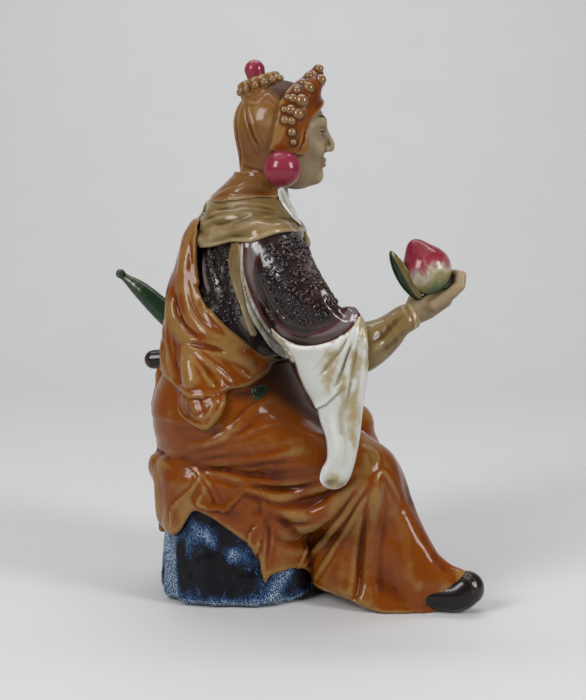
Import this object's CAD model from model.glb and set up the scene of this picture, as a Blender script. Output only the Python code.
"""A glazed clay figure in East Asian theatre dress, seated on a rock and holding out a peach.

Places are in millimetres in the part's frame: +X is the way the figure faces, +Y its left, +Z up.
Body forms are fields: functions of an array of places that are negative inside a form. Folds are
drawn on them as seen from one side, and each field is then turned into a mesh of its own.
"""
import math

import bmesh
import bpy
import numpy as np
import openvdb
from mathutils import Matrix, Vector


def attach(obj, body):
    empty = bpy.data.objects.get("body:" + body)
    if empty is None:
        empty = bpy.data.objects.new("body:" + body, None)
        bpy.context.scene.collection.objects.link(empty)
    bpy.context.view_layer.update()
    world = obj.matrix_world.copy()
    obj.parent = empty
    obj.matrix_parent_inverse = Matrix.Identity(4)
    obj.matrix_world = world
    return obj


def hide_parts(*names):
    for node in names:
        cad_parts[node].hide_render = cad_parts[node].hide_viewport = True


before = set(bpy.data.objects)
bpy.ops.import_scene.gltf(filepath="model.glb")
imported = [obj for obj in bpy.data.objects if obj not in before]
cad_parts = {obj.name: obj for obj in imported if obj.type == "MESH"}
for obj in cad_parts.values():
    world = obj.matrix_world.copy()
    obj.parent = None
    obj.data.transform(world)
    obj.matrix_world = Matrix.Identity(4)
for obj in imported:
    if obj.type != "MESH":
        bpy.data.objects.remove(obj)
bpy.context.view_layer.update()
NODE = "seated_figure"
MM = 0.001
COARSER = 1.0

# The camera, and the frame of the photograph in pixels
EYE = np.array([31.0, -739.0, 227.0])
PITCH = math.radians(7.2)
LENS, SENSOR = 70.0, 36.0
PHOTO_WIDTH, PHOTO_HEIGHT = 586, 700
FOCUS = LENS / SENSOR * PHOTO_HEIGHT


# Fields

def smooth_rows(table, step=0.5):
    """A table's rows at even steps of its first column, on smooth curves through its rows."""
    table = np.array(table, float)
    place, rows = table[:, 0], table[:, 1:]
    wide = np.vstack([table[:1], table, table[-1:]])
    slope = (wide[2:, 1:] - wide[:-2, 1:]) / (wide[2:, 0] - wide[:-2, 0])[:, None]
    at = np.arange(place[0], place[-1] + step, step)
    i = np.clip(np.searchsorted(place, at) - 1, 0, len(place) - 2)
    span = (place[i + 1] - place[i])[:, None]
    t = ((at - place[i])[:, None]) / span
    fall = 2 * t**3 - 3 * t**2 + 1
    value = rows[i] * fall + rows[i + 1] * (1 - fall)
    value += slope[i] * span * (t**3 - 2 * t**2 + t) + slope[i + 1] * span * (t**3 - t**2)
    return at, value


def column(table, turn=0.0, corner=2.0):
    """A body lofted through ovals (height, middle x and y, half length, half width)."""
    at, rows = smooth_rows(table)
    cos, sin = math.cos(math.radians(turn)), math.sin(math.radians(turn))

    def field(p):
        cx, cy, rx, ry = (np.interp(p[:, 2], at, rows[:, k]) for k in range(4))
        x, y = p[:, 0] - cx, p[:, 1] - cy
        along = np.abs(x * cos + y * sin) / rx
        across = np.abs(y * cos - x * sin) / ry
        side = ((along**corner + across**corner) ** (1 / corner) - 1) * np.minimum(rx, ry)
        return np.maximum(side, np.maximum(at[0] - p[:, 2], p[:, 2] - at[-1]))

    return field


def egg(at, size):
    at, size = np.array(at, float), np.array(size, float)

    def field(p):
        q = (p - at) / size
        reach = np.linalg.norm(q, axis=1)
        slope = np.linalg.norm(q / size, axis=1)
        return reach * (reach - 1) / np.maximum(slope, 1e-6)

    return field


def limb(points):
    """A limb of changing radius along a chain of points, each x, y, z and radius."""
    points = np.array(points, float)

    def field(p):
        nearest = np.full(len(p), np.inf)
        for a, b in zip(points[:-1], points[1:]):
            d = b[:3] - a[:3]
            t = np.clip(((p - a[:3]) @ d) / (d @ d), 0, 1)
            gap = np.linalg.norm(p - a[:3] - t[:, None] * d, axis=1)
            nearest = np.minimum(nearest, gap - (a[3] + (b[3] - a[3]) * t))
        return nearest

    return field


def curve_through(points, per_span=5):
    """A smooth polyline through points."""
    p = np.array(points, float)
    if len(p) == 2:
        return p[0] + np.linspace(0, 1, per_span + 1)[:, None] * (p[1] - p[0])
    wide = np.vstack([2 * p[0] - p[1], p, 2 * p[-1] - p[-2]])
    out = []
    for a, b, c, d in zip(wide[:-3], wide[1:-2], wide[2:-1], wide[3:]):
        t = np.linspace(0, 1, per_span, endpoint=False)[:, None]
        out.append(b + 0.5 * t * (c - a + t * (2 * a - 5 * b + 4 * c - d + t * (3 * (b - c) + d - a))))
    return np.vstack(out + [p[-1:]])


def tube(points, per_span=4):
    """A limb on a smooth curve."""
    return limb(curve_through(points, per_span))


def smooth_min(a, b, softness):
    blend = np.maximum(0, softness - np.abs(a - b)) / softness
    return np.minimum(a, b) - blend**2 * softness / 4


def melt(softness, *fields):
    """Forms that melt into each other over a few millimetres."""

    def field(p):
        value = fields[0](p)
        for other in fields[1:]:
            value = smooth_min(value, other(p), softness)
        return value

    return field


def carve(field, tool, softness=1.0):
    """A form with a tool's form taken out of it, over a soft edge."""
    return lambda p: -smooth_min(-field(p), tool(p), softness)


def both(field, other, softness=1.0):
    """What two forms share."""
    return lambda p: -smooth_min(-field(p), -other(p), softness)


def grown(field, size):
    return lambda p: field(p) - size


def mirrored(field):
    """A form whose left half repeats its right half."""
    return lambda p: field(p * (1, 0, 1) - np.abs(p) * (0, 1, 0))


def ripple(p, size, seed, waves=5):
    """Smooth noise of about one unit, with waves of a given size."""
    rng = np.random.default_rng(seed)
    total = np.zeros(len(p))
    for _ in range(waves):
        way = rng.normal(size=3)
        way *= rng.uniform(0.7, 1.4) * 2 * math.pi / size / np.linalg.norm(way)
        total += np.sin(p @ way + rng.uniform(0, 6.28))
    return total / waves**0.5


# Drawing on a form as seen from one side

def photo_rays(spots):
    """Sight lines through pixels of the photograph."""
    spots = np.array(spots, float)
    right = np.array([1.0, 0, 0])
    ahead = np.array([0, math.cos(PITCH), -math.sin(PITCH)])
    up = np.array([0, math.sin(PITCH), math.cos(PITCH)])
    a = (spots[:, :1] - PHOTO_WIDTH / 2) / FOCUS
    b = (PHOTO_HEIGHT / 2 - spots[:, 1:]) / FOCUS
    ways = ahead + a * right + b * up
    ways /= np.linalg.norm(ways, axis=1)[:, None]
    return EYE + ways * 600, ways


def side_rays(across, ahead):
    """Parallel sight lines through places of a side view, in millimetres across and up."""

    def rays(spots):
        spots = np.array(spots, float)
        at = spots[:, :1] * np.array(across, float) + spots[:, 1:] * np.array([0, 0, 1.0])
        ways = np.tile(np.array(ahead, float), (len(spots), 1))
        return at - ways * 150, ways

    return rays


LEFT = side_rays((1, 0, 0), (0, -1, 0))
BACK = side_rays((0, 1, 0), (1, 0, 0))
FRONT = side_rays((0, 1, 0), (-1, 0, 0))


def land(rays, spots, field):
    """Where sight lines first meet a form, or pass nearest to it."""
    at, ways = rays(spots)
    best, nearest = at.copy(), np.full(len(at), np.inf)
    for _ in range(70):
        gap = field(at)
        better = gap < nearest - 1e-3
        best[better], nearest[better] = at[better], gap[better]
        at = at + ways * np.maximum(gap * 0.8, 0.02)[:, None]
    return best


class Line:
    """A curve that lies on a form, for folds, edges and bands."""

    def __init__(self, points, look):
        self.points, self.look = points, look

    def measure(self, p):
        """Distance to the line, share of the way along it, and the side as seen: right is positive."""
        near = np.full(len(p), np.inf)
        share = np.zeros(len(p))
        side = np.zeros(len(p))
        count = len(self.points) - 1
        for i, (a, b) in enumerate(zip(self.points[:-1], self.points[1:])):
            d = b - a
            t = np.clip(((p - a) @ d) / max(d @ d, 1e-9), 0, 1)
            off = p - a - t[:, None] * d
            gap = np.linalg.norm(off, axis=1)
            closer = gap < near
            near[closer] = gap[closer]
            share[closer] = (i + t[closer]) / count
            side[closer] = (off @ np.cross(self.look, d))[closer]
        return near, share, np.sign(side)


def lines(rays, curves, field):
    """Curves of a view, as lines on a form."""
    spots = [curve_through(curve) for curve in curves]
    landed = land(rays, np.vstack(spots), field)
    ends = np.cumsum([len(each) for each in spots])[:-1]
    look = rays(np.zeros((1, 2)))[1][0]
    return [Line(points, look) for points in np.split(landed, ends)]


RIDGE, LAP = "ridge", "lap"


class Fold:
    """A fold pressed into clay: a ridge with hollows beside it, or a lap that is high on its right."""

    def __init__(self, line, height, width, kind=RIDGE):
        self.line, self.height, self.width, self.kind = line, height, width, kind
        self.low = line.points.min(0) - width * 2.6
        self.high = line.points.max(0) + width * 2.6

    def lift(self, p):
        near, share, side = self.line.measure(p)
        taper = np.clip(np.minimum(share, 1 - share) / 0.22, 0, 1)
        taper = np.where(share < 0.5, 0.15, 0.0) + taper * np.where(share < 0.5, 0.85, 1.0)
        s = near / self.width
        if self.kind == RIDGE:
            crisp = np.clip((3.2 - self.width) / 1.4, 0, 1)
            sharp = 1.45 * np.exp(-1.5 * np.sqrt(s**2 + 0.06)) - 0.38 * np.exp(-(((s - 1.5) / 0.7) ** 2))
            shape = crisp * sharp + (1 - crisp) * (1.1 * np.exp(-(s**2)) - 0.15 * np.exp(-(((s - 1.7) / 0.7) ** 2)))
        else:
            signed = s * side
            step = 0.5 + 0.5 * np.tanh(signed / 0.16)
            shape = step * np.exp(-((s / 1.1) ** 2)) - (1 - step) * 0.45 * np.exp(-((s / 0.6) ** 2))
        return self.height * taper * shape


def folds(rays, table, field):
    """Folds from rows of height, width and places. A lap's row starts with the word."""
    rows = [row if row[0] == LAP else (RIDGE, *row) for row in table]
    drawn = lines(rays, [row[3:] for row in rows], field)
    return [Fold(line, row[1], row[2], row[0]) for line, row in zip(drawn, rows)]


def lift(p, pressed):
    total = np.zeros(len(p))
    for fold in pressed:
        near = np.nonzero(((p > fold.low) & (p < fold.high)).all(1))[0]
        if len(near):
            total[near] += fold.lift(p[near])
    return total


def seen_inside(spots):
    """The form behind a closed smooth outline drawn in the photograph, in millimetres from the outline."""
    ring = curve_through(list(spots) + [spots[0]], 4)
    a, b = ring[:-1], ring[1:]
    d = b - a
    long = np.maximum((d**2).sum(1), 1e-9)
    slant = d[:, 0] / np.where(d[:, 1] == 0, 1, d[:, 1])

    def distance(spot):
        off = spot[:, None] - a
        t = np.clip((off * d).sum(2) / long, 0, 1)
        near = ((off - t[..., None] * d) ** 2).sum(2).min(1)
        crossed = (a[:, 1] > spot[:, 1:]) != (b[:, 1] > spot[:, 1:])
        inside = (crossed & (off[..., 0] < off[..., 1] * slant)).sum(1) % 2 == 1
        return np.where(inside, -1, 1) * np.sqrt(near)

    def field(p):
        q = p - EYE
        ahead = q[:, 1] * math.cos(PITCH) - q[:, 2] * math.sin(PITCH)
        up = q[:, 1] * math.sin(PITCH) + q[:, 2] * math.cos(PITCH)
        spot = np.stack([PHOTO_WIDTH / 2 + FOCUS * q[:, 0] / ahead, PHOTO_HEIGHT / 2 - FOCUS * up / ahead], 1)
        parts = np.array_split(spot, len(spot) // 8192 + 1)
        return np.concatenate([distance(part) for part in parts]) * ahead / FOCUS

    return field


# Meshes

def polygonise(field, low, high, step, margin):
    """The places and quads of a field's zero surface, worked out finely only near it."""
    step *= COARSER
    side = 4
    low, high = np.array(low, float), np.array(high, float)
    count = np.ceil((high - low) / (step * side)).astype(int) + 1
    cells = np.stack(np.meshgrid(*map(np.arange, count), indexing="ij"), -1).reshape(-1, 3)
    middles = low + (cells * side + (side - 1) / 2) * step
    rough = field(middles)
    values = rough.reshape(count)
    for axis in range(3):
        values = np.repeat(values, side, axis=axis)
    values = values.astype(np.float32)
    close = cells[np.abs(rough) < step * side * 0.87 + margin] * side
    offsets = np.stack(np.meshgrid(*[np.arange(side)] * 3, indexing="ij"), -1).reshape(-1, 3)
    fine = (close[:, None] + offsets[None]).reshape(-1, 3)
    values[tuple(fine.T)] = field(low + fine * step)
    grid = openvdb.FloatGrid(float(max(values.max(), 1)))
    grid.copyFromArray(values)
    places, quads = grid.convertToQuads(0.0)
    return low + places.astype(float) * step, quads.astype(np.int64)


def height_above_average(places, quads, rounds):
    """How far each place stands out from the surface smoothed over some rounds."""
    here, there = quads.ravel(), np.roll(quads, -1, axis=1).ravel()
    count = np.maximum(np.bincount(here, minlength=len(places)), 1)
    smooth = places.copy()
    for _ in range(rounds):
        mean = np.stack([np.bincount(here, smooth[there, k], len(places)) for k in range(3)], 1)
        smooth = (smooth + mean / count[:, None]) / 2
    return places - smooth


def build_mesh(name, places, quads):
    mesh = bpy.data.meshes.new(name)
    mesh.vertices.add(len(places))
    mesh.vertices.foreach_set("co", (places * MM).astype(np.float32).ravel())
    mesh.loops.add(quads.size)
    mesh.loops.foreach_set("vertex_index", quads.astype(np.int32).ravel())
    mesh.polygons.add(len(quads))
    mesh.polygons.foreach_set("loop_start", np.arange(0, quads.size, 4, dtype=np.int32))
    mesh.update(calc_edges=True)
    mesh.validate()
    mesh.shade_smooth()
    return mesh


def normals_of(mesh):
    normals = np.zeros(len(mesh.vertices) * 3, np.float32)
    mesh.vertex_normals.foreach_get("vector", normals)
    return normals.reshape(-1, 3).astype(float)


def keep(mesh, name, values):
    layer = mesh.attributes.new(name, "FLOAT", "POINT")
    layer.data.foreach_set("value", np.asarray(values, np.float32))


def place_piece(mesh, material):
    piece = bpy.data.objects.new(mesh.name, mesh)
    bpy.context.scene.collection.objects.link(piece)
    mesh.materials.append(material)
    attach(piece, "root")
    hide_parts(NODE)
    return piece


def clay(name, field, low, high, step, material, pressed=(), marks=None):
    """A piece of clay: a field with folds pressed into it, and marks that its glaze follows."""
    shaped = (lambda p: field(p) - lift(p, pressed)) if pressed else field
    margin = 1 + max([abs(fold.height) for fold in pressed], default=0)
    places, quads = polygonise(shaped, low, high, step, margin)
    places[:, 2] = np.maximum(places[:, 2], 0)
    mesh = build_mesh(name, places, quads)
    normals = normals_of(mesh)
    fine = int(8 / step**2 / COARSER**2) + 1
    thin = np.zeros(len(places))
    for rounds, share, least in ((fine, 0.22, 0.08), (fine * 8, 0.14, 0.35)):
        out = (height_above_average(places, quads, rounds) * normals).sum(1)
        out = np.clip((out - np.median(out)) / max(out.std(), least), -2.5, 2.5)
        thin += share * out * 0.7
    keep(mesh, "thin", thin)
    for label, measure in (marks or {}).items():
        keep(mesh, label, measure(places))
    return place_piece(mesh, material)


# Stamps: copies of a small mesh, strewn by geometry nodes

def stamp_tree():
    """Sets a stamp on each point, standing along its way, spun and sized by the point's marks."""
    tree = bpy.data.node_groups.new("stamps", "GeometryNodeTree")
    for name, kind in (("Geometry", "Geometry"), ("Stamp", "Object"), ("Finish", "Material")):
        tree.interface.new_socket(name=name, in_out="INPUT", socket_type="NodeSocket" + kind)
    tree.interface.new_socket(name="Geometry", in_out="OUTPUT", socket_type="NodeSocketGeometry")

    def node(kind, links=(), **settings):
        made = tree.nodes.new(kind)
        for key, value in settings.items():
            setattr(made, key, value)
        for name, source in links:
            tree.links.new(source, made.inputs[name])
        return made.outputs

    def mark(name, kind):
        outputs = node("GeometryNodeInputNamedAttribute", data_type=kind)
        outputs[0].node.inputs["Name"].default_value = name
        return outputs[0]

    given = node("NodeGroupInput")
    points = node("GeometryNodeMeshToPoints", [("Mesh", given["Geometry"])])[0]
    stamp = node("GeometryNodeObjectInfo", [("Object", given["Stamp"])])["Geometry"]
    along = node("FunctionNodeAlignRotationToVector", [("Vector", mark("way", "FLOAT_VECTOR"))], axis="Z")[0]
    spin = node("FunctionNodeAxisAngleToRotation", [("Angle", mark("spin", "FLOAT"))])[0]
    turned = node("FunctionNodeRotateRotation", [("Rotation", along), ("Rotate By", spin)],
                  rotation_space="LOCAL")[0]
    copies = node("GeometryNodeInstanceOnPoints", [("Points", points), ("Instance", stamp),
                                                   ("Rotation", turned), ("Scale", mark("size", "FLOAT"))])[0]
    real = node("GeometryNodeRealizeInstances", [("Geometry", copies)])[0]
    done = node("GeometryNodeSetMaterial", [("Geometry", real), ("Material", given["Finish"])])[0]
    node("NodeGroupOutput", [("Geometry", done)])
    return tree


STAMPS = stamp_tree()


def strew(name, stamp, places, ways, spins, sizes, material):
    """One piece made of copies of a stamp at places."""
    mesh = bpy.data.meshes.new(name + "_places")
    mesh.from_pydata([tuple(place * MM) for place in places], [], [])
    way = mesh.attributes.new("way", "FLOAT_VECTOR", "POINT")
    way.data.foreach_set("vector", np.asarray(ways, np.float32).ravel())
    keep(mesh, "spin", spins)
    keep(mesh, "size", sizes)
    host = bpy.data.objects.new(mesh.name, mesh)
    bpy.context.scene.collection.objects.link(host)
    modifier = host.modifiers.new("stamps", "NODES")
    modifier.node_group = STAMPS
    sockets = STAMPS.interface.items_tree
    modifier[sockets["Stamp"].identifier] = stamp
    modifier[sockets["Finish"].identifier] = material
    bpy.context.view_layer.update()
    made = bpy.data.meshes.new_from_object(host.evaluated_get(bpy.context.evaluated_depsgraph_get()))
    made.name = name
    made.materials.clear()
    made.shade_smooth()
    bpy.data.objects.remove(host)
    bpy.data.objects.remove(stamp)
    keep(made, "thin", np.full(len(made.vertices), 0.1))
    keep(made, "trim", np.full(len(made.vertices), 20))
    return place_piece(made, material)


def bead_stamp():
    """A round bead of radius one."""
    mesh = bpy.data.meshes.new("bead")
    shape = bmesh.new()
    bmesh.ops.create_icosphere(shape, subdivisions=3, radius=MM)
    shape.to_mesh(mesh)
    shape.free()
    return loose_object(mesh)


def curl_stamp():
    """A curled ridge, thick at its outer end, half sunk into what it sits on."""
    around, along = 6, 12
    rings = []
    for i in range(along + 1):
        share = i / along
        turn, reach, thick = 5.2 * share, 1.5 - 1.0 * share, 0.75 - 0.3 * share
        middle = np.array([reach * math.cos(turn), reach * math.sin(turn), 0.15])
        out = np.array([math.cos(turn), math.sin(turn), 0])
        for k in range(around):
            angle = 2 * math.pi * k / around
            rings.append(middle + thick * (math.cos(angle) * out + math.sin(angle) * np.array([0, 0, 1])))
    faces = [(i * around + k, i * around + (k + 1) % around, (i + 1) * around + (k + 1) % around,
              (i + 1) * around + k) for i in range(along) for k in range(around)]
    faces += [tuple(range(around))[::-1], tuple(range(along * around, (along + 1) * around))]
    mesh = bpy.data.meshes.new("curl")
    mesh.from_pydata([tuple(v * MM) for v in rings], [], faces)
    return loose_object(mesh)


def loose_object(mesh):
    stamp = bpy.data.objects.new(mesh.name, mesh)
    bpy.context.scene.collection.objects.link(stamp)
    return stamp


def spread(piece, region, gap, seed):
    """Places and normals on a piece inside a region, with a least gap between them."""
    mesh = piece.data
    places = np.zeros(len(mesh.vertices) * 3, np.float32)
    mesh.vertices.foreach_get("co", places)
    places = places.reshape(-1, 3).astype(float) / MM
    normals = normals_of(mesh)
    order = np.random.default_rng(seed).permutation(np.nonzero(region(places, normals))[0])
    chosen = []
    for i in order:
        if not chosen or ((places[chosen] - places[i]) ** 2).sum(1).min() > gap**2:
            chosen.append(i)
    return places[chosen], normals[chosen]


# Materials

class Recipe:
    """A material, or a group that materials share, and the nodes that are added to it."""

    def __init__(self, name, group=False):
        if group:
            self.tree = bpy.data.node_groups.new(name, "ShaderNodeTree")
        else:
            self.material = bpy.data.materials.new(name)
            self.material.use_nodes = True
            self.tree = self.material.node_tree
            self.tree.nodes.clear()
        self.place = self.add("ShaderNodeTexCoord").outputs["Object"]

    def add(self, kind, **given):
        """A node. Capitalised names are its inputs, the others its settings."""
        node = self.tree.nodes.new(kind)
        for key, value in given.items():
            if key[0].islower():
                setattr(node, key, value)
                continue
            socket = node.inputs[int(key[1:])] if key[1:].isdigit() else node.inputs[key.replace("_", " ")]
            if isinstance(value, bpy.types.NodeSocket):
                self.tree.links.new(value, socket)
            else:
                socket.default_value = value
        return node

    def math(self, operation, a, b=0.0, clamp=False):
        return self.add("ShaderNodeMath", operation=operation, use_clamp=clamp, I0=a, I1=b).outputs[0]

    def between(self, value, low, high):
        """A value's share of the way from low to high, smoothed and kept to 0 to 1."""
        node = self.add("ShaderNodeMapRange", interpolation_type="SMOOTHSTEP", Value=value,
                        From_Min=low, From_Max=high)
        return node.outputs[0]

    def noise(self, size, detail=3.0, roughness=0.5, place=None, distortion=0.0):
        """Noise with waves of a size in millimetres."""
        node = self.add("ShaderNodeTexNoise", Vector=place or self.place, Scale=1 / (size * MM),
                        Detail=detail, Roughness=roughness, Distortion=distortion)
        return node.outputs["Fac"]

    def mix(self, share, a, b):
        node = self.add("ShaderNodeMix", data_type="RGBA", I0=share)
        for index, colour in ((6, a), (7, b)):
            if isinstance(colour, bpy.types.NodeSocket):
                self.tree.links.new(colour, node.inputs[index])
            else:
                node.inputs[index].default_value = (*colour, 1)
        return node.outputs[2]

    def mark(self, name):
        return self.add("ShaderNodeAttribute", attribute_name=name).outputs["Fac"]

    def coordinate(self, axis):
        return self.add("ShaderNodeSeparateXYZ", Vector=self.place).outputs[axis]

    def stretched(self, x, y, z):
        return self.add("ShaderNodeVectorMath", operation="MULTIPLY", I0=self.place, I1=(x, y, z)).outputs[0]

    def finish(self, colour, roughness, coat, bump, depth_mm, specular=0.24):
        height = self.add("ShaderNodeBump", Strength=1.0, Distance=depth_mm * MM, Height=bump)
        shader = self.add("ShaderNodeBsdfPrincipled", Base_Color=colour, Roughness=roughness,
                          Coat_Weight=coat, Coat_Roughness=0.1, Specular_IOR_Level=specular,
                          Normal=height.outputs[0])
        out = self.add("ShaderNodeOutputMaterial")
        self.tree.links.new(shader.outputs[0], out.inputs["Surface"])
        return self.material


def thinness_group():
    """How thin a glaze lies: 1 on ridges and edges, 0 in hollows where it pools."""
    recipe = Recipe("thinness", group=True)
    for name in ("Gain", "Cloud", "Base"):
        recipe.tree.interface.new_socket(name, in_out="INPUT", socket_type="NodeSocketFloat")
    recipe.tree.interface.new_socket("Thinness", in_out="OUTPUT", socket_type="NodeSocketFloat")
    given = recipe.add("NodeGroupInput").outputs
    clouds = recipe.math("MULTIPLY", recipe.math("SUBTRACT", recipe.noise(22, 3), 0.5), given["Cloud"])
    worn = recipe.math("ADD", recipe.mark("pale"), clouds)
    thin = recipe.math("ADD", recipe.math("MULTIPLY", recipe.mark("thin"), given["Gain"]), worn)
    out = recipe.add("NodeGroupOutput")
    recipe.tree.links.new(recipe.math("ADD", thin, given["Base"], clamp=True), out.inputs["Thinness"])
    return recipe.tree


THINNESS = thinness_group()


def thinness(recipe, gain=1.0, cloud=0.5, base=0.5):
    return recipe.add("ShaderNodeGroup", node_tree=THINNESS, Gain=gain, Cloud=cloud, Base=base).outputs["Thinness"]


def glaze(name, hollow, body, ridge, roughness=0.2, cloud=0.9, gain=1.0, base=0.5):
    """A runny glaze over clay: it breaks to a pale colour on ridges and pools darker in hollows."""
    recipe = Recipe(name)
    thin = thinness(recipe, gain, cloud, base)
    ramp = recipe.add("ShaderNodeValToRGB", Fac=thin)
    stops = ramp.color_ramp.elements
    stops[0].position, stops[0].color = 0.02, (*hollow, 1)
    stops[1].position, stops[1].color = 0.95, (*ridge, 1)
    for place, tone in ((0.24, [0.55 * a + 0.45 * b for a, b in zip(hollow, body)]), (0.46, body), (0.62, body)):
        stops.new(place).color = (*tone, 1)
    streak = recipe.noise(3.5, 4, 0.6, recipe.stretched(1, 1, 0.45))
    dull = recipe.mix(recipe.between(streak, 0.45, 0.8), ramp.outputs[0],
                      recipe.mix(0.5, ramp.outputs[0], body))
    soft = recipe.math("ADD", recipe.math("MULTIPLY", recipe.noise(9, 2), 0.16), roughness - 0.08)
    return recipe, dull, soft


AMBER = ((0.075, 0.012, 0.001), (0.165, 0.038, 0.002), (0.225, 0.115, 0.032))
HOOD_AMBER = ((0.1, 0.025, 0.003), (0.17, 0.075, 0.02), (0.27, 0.17, 0.075))
OLIVE = ((0.06, 0.035, 0.008), (0.16, 0.105, 0.038), (0.29, 0.215, 0.11))
WHITE = ((0.27, 0.22, 0.12), (0.47, 0.47, 0.44), (0.62, 0.62, 0.59))
DARK = ((0.004, 0.004, 0.006), (0.016, 0.008, 0.008), (0.06, 0.028, 0.023))


def amber_material(name, tones, gain):
    """Amber that turns matt and dark where it has pooled."""
    recipe, colour, soft = glaze(name, *tones, cloud=1.25, gain=gain)
    pool = recipe.mark("pool")
    colour = recipe.mix(pool, colour, (0.03, 0.008, 0.002))
    gloss = recipe.math("SUBTRACT", 1.0, pool, clamp=True)
    open_share = recipe.between(recipe.mark("thin"), -0.6, 0.0)
    gloss = recipe.math("MULTIPLY", gloss, recipe.math("ADD", recipe.math("MULTIPLY", open_share, 0.7), 0.3))
    return recipe.finish(colour, recipe.math("ADD", soft, recipe.math("MULTIPLY", pool, 0.3)),
                         recipe.math("MULTIPLY", gloss, 0.24), recipe.noise(2.2, 2), 0.05, 0.14)


def pearl_material():
    recipe, colour, soft = glaze("pearl_glaze", (0.09, 0.03, 0.006), (0.165, 0.08, 0.022), (0.26, 0.155, 0.06))
    return recipe.finish(colour, soft, 0.55, recipe.noise(2.2, 2), 0.04, 0.35)


def olive_material():
    recipe, colour, soft = glaze("olive_glaze", *OLIVE)
    return recipe.finish(colour, soft, 0.18, recipe.noise(2.2, 2), 0.05)


def white_material():
    recipe, colour, soft = glaze("white_glaze", *WHITE, gain=0.6, cloud=0.7)
    run = recipe.noise(11, 4, 0.6, recipe.stretched(1, 1, 0.4), 0.4)
    stained = recipe.mix(recipe.between(run, 0.6, 0.74), colour, (0.3, 0.22, 0.11))
    edge = recipe.math("MULTIPLY", recipe.math("SUBTRACT", recipe.noise(6, 4), 0.5), 9)
    lined = recipe.mix(recipe.between(recipe.math("ADD", recipe.mark("lining"), edge), -2.6, 2.2),
                       (0.3, 0.24, 0.125), stained)
    return recipe.finish(lined, soft, 0.18, recipe.noise(2.2, 2), 0.04)


def dark_material():
    recipe, colour, soft = glaze("dark_glaze", *DARK, cloud=1.0)
    trim = recipe.mark("trim")
    bands = recipe.add("ShaderNodeValToRGB", Fac=recipe.math("MULTIPLY", trim, 0.1, clamp=True))
    stops = bands.color_ramp.elements
    red, grey = (0.055, 0.009, 0.008, 1), (0.13, 0.1, 0.1, 1)
    stops[0].position, stops[0].color = 0.16, red
    stops[1].position, stops[1].color = 0.85, red
    for place, tone in ((0.26, grey), (0.66, grey), (0.76, red)):
        stops.new(place).color = tone
    colour = recipe.mix(recipe.between(trim, 8.6, 9.2), bands.outputs[0], colour)
    worn = recipe.between(recipe.math("ADD", recipe.noise(8, 4), recipe.mark("thin")), 0.45, 0.75)
    colour = recipe.mix(recipe.math("MULTIPLY", recipe.between(trim, 25, 35), worn), colour, (0.12, 0.098, 0.09))
    return recipe.finish(colour, soft, 0.4, recipe.noise(2.0, 2), 0.05)


def rock_material():
    recipe = Recipe("rock_glaze")
    grain = recipe.add("ShaderNodeTexVoronoi", Vector=recipe.place, Scale=1 / (0.56 * MM), Randomness=1.0)
    dots = grain.outputs["Distance"]
    random = recipe.add("ShaderNodeSeparateColor", Color=grain.outputs["Color"]).outputs
    tone = random[0]
    streaks = recipe.noise(7, 5, 0.65, recipe.stretched(1.0, 1.0, 0.5), 0.6)
    dense = recipe.math("ADD", streaks, recipe.math("MULTIPLY", recipe.mark("speckle"), 0.5))
    share = recipe.between(dense, 0.33, 0.76)
    shown = recipe.between(recipe.math("SUBTRACT", share, tone), 0.0, 0.16)
    dot = recipe.math("MULTIPLY", shown, recipe.between(dots, 0.54, 0.26))
    navy = recipe.mix(share, (0.004, 0.004, 0.006), (0.01, 0.028, 0.085))
    light = recipe.mix(recipe.between(dense, 0.6, 0.92), (0.08, 0.2, 0.36), (0.66, 0.84, 0.9))
    light = recipe.mix(recipe.math("MULTIPLY", random[1], 0.6), light, (0.02, 0.06, 0.16))
    colour = recipe.mix(dot, navy, light)
    return recipe.finish(colour, recipe.math("ADD", recipe.math("MULTIPLY", dot, 0.2), 0.25), 0.05,
                         recipe.noise(1.6, 3), 0.12, 0.18)


def skin_material(name, paints=()):
    """Bare clay, painted where a mark is below nothing."""
    recipe = Recipe(name)
    tone = recipe.noise(9, 4)
    thin = thinness(recipe, 1.0, 0.7)
    colour = recipe.mix(thin, (0.13, 0.085, 0.042), (0.29, 0.215, 0.12))
    colour = recipe.mix(recipe.between(tone, 0.4, 0.75), colour, (0.2, 0.145, 0.075))
    for mark, paint in paints:
        colour = recipe.mix(recipe.between(recipe.mark(mark), -0.2, 0.2), paint, colour)
    return recipe.finish(colour, recipe.math("ADD", recipe.math("MULTIPLY", tone, 0.2), 0.42), 0.0,
                         recipe.noise(0.9, 3), 0.06, 0.35)


def crimson_material():
    recipe = Recipe("crimson_glaze")
    tone = recipe.noise(7, 3)
    colour = recipe.mix(tone, (0.14, 0.012, 0.026), (0.27, 0.028, 0.052))
    return recipe.finish(colour, recipe.math("ADD", recipe.math("MULTIPLY", tone, 0.1), 0.14), 0.25,
                         recipe.noise(2.0, 2), 0.04)


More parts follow.
